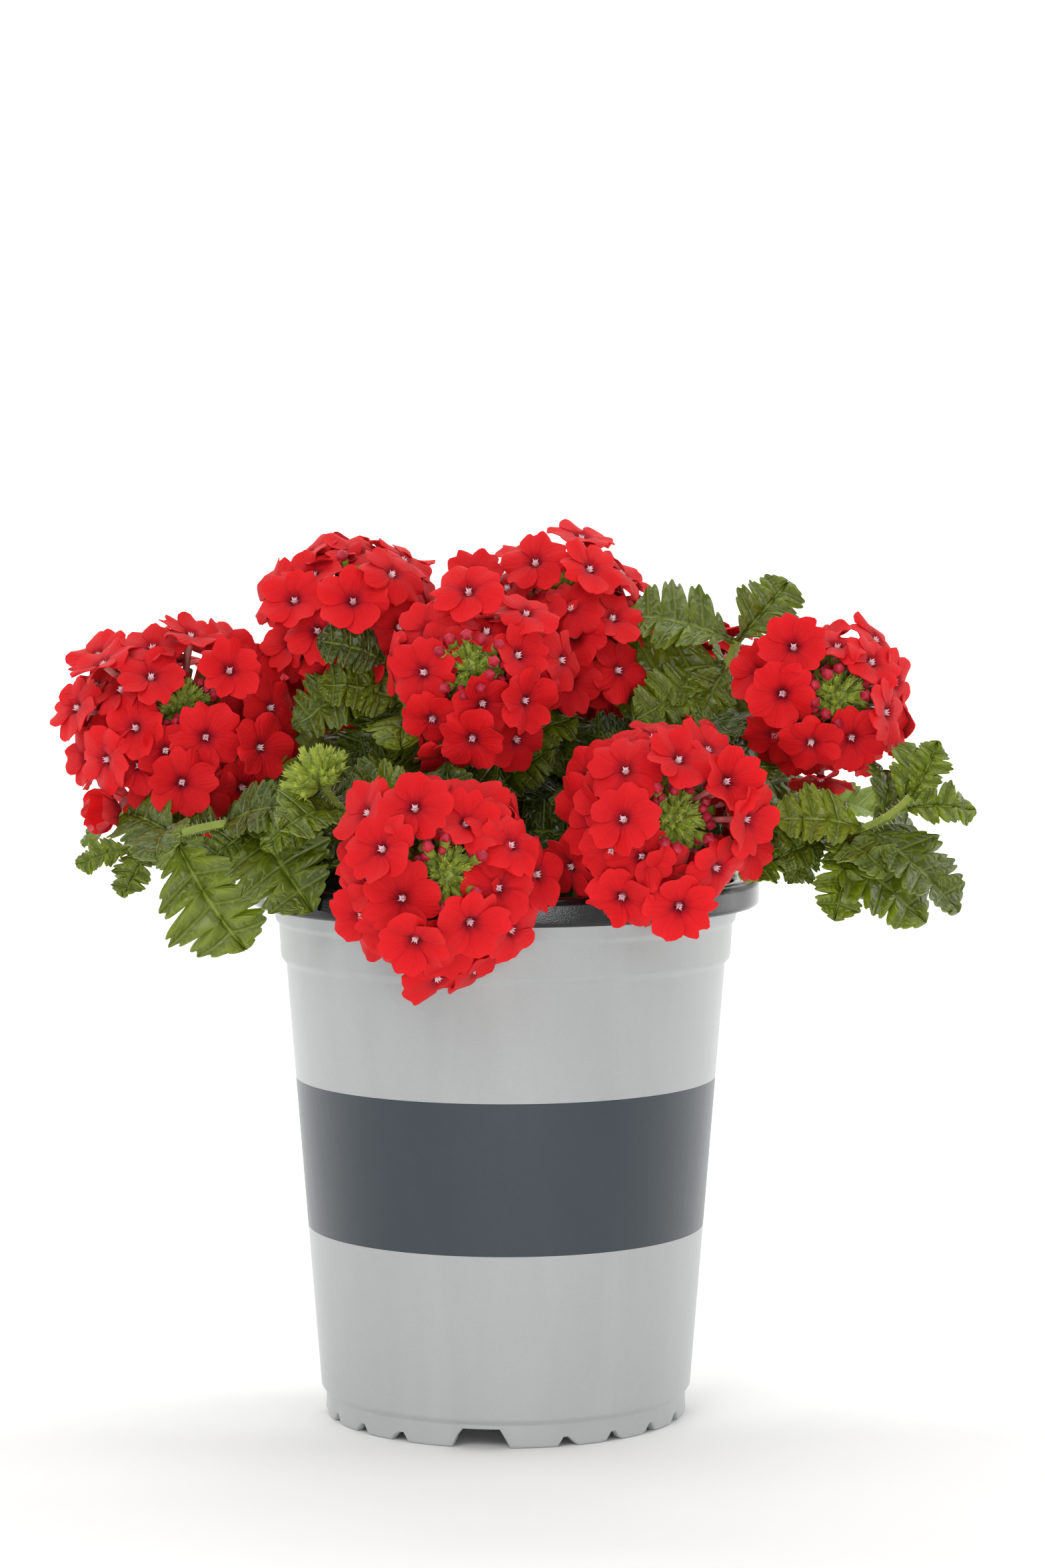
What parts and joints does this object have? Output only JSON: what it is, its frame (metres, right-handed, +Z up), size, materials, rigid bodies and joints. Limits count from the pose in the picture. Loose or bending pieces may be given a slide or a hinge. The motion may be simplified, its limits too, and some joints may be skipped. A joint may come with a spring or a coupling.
{
  "type": "potted verbena",
  "caption": "Scarlet garden verbena in bloom, with domed flower heads and toothed leaves, in a grey plastic nursery pot.",
  "frame": {"origin": "middle of the pot's foot, on the surface the pot stands on", "axes": "+Z up, -Y towards the front of the plant, +X to the right of it"},
  "size_m": [0.219, 0.1771, 0.2169],
  "materials": {
    "pot_plastic": "moulded grey plastic with a slate blue printed band and a black rim and inside",
    "peat": "damp dark peat mix",
    "petals": "scarlet petals with crimson throats and pale eyes",
    "foliage": "veined green leaves with short pale hairs"
  },
  "bodies": {
    "root": {"pot": "pot_plastic", "potting_soil": "peat", "florets_left": "petals", "florets_top_left": "petals", "florets_top_right": "petals", "florets_centre": "petals", "florets_right": "petals", "florets_front": "petals", "florets_front_right": "petals", "florets_back_right": "petals", "florets_back_left": "petals", "florets_back": "petals", "flowering_shoot_left": "foliage", "flowering_shoot_top_left": "foliage", "flowering_shoot_top_right": "foliage", "flowering_shoot_centre": "foliage", "flowering_shoot_right": "foliage", "flowering_shoot_front": "foliage", "flowering_shoot_front_right": "foliage", "flowering_shoot_back_right": "foliage", "flowering_shoot_back_left": "foliage", "flowering_shoot_back": "foliage", "leafy_shoot_bud": "foliage", "leafy_shoot_low_left": "foliage", "leafy_shoot_upper_left": "foliage", "leafy_shoot_upper_right": "foliage", "leafy_shoot_right": "foliage", "leafy_shoot_back_right": "foliage", "leafy_shoot_back_left": "foliage", "leafy_shoot_back": "foliage"}
  },
  "joints": []
}
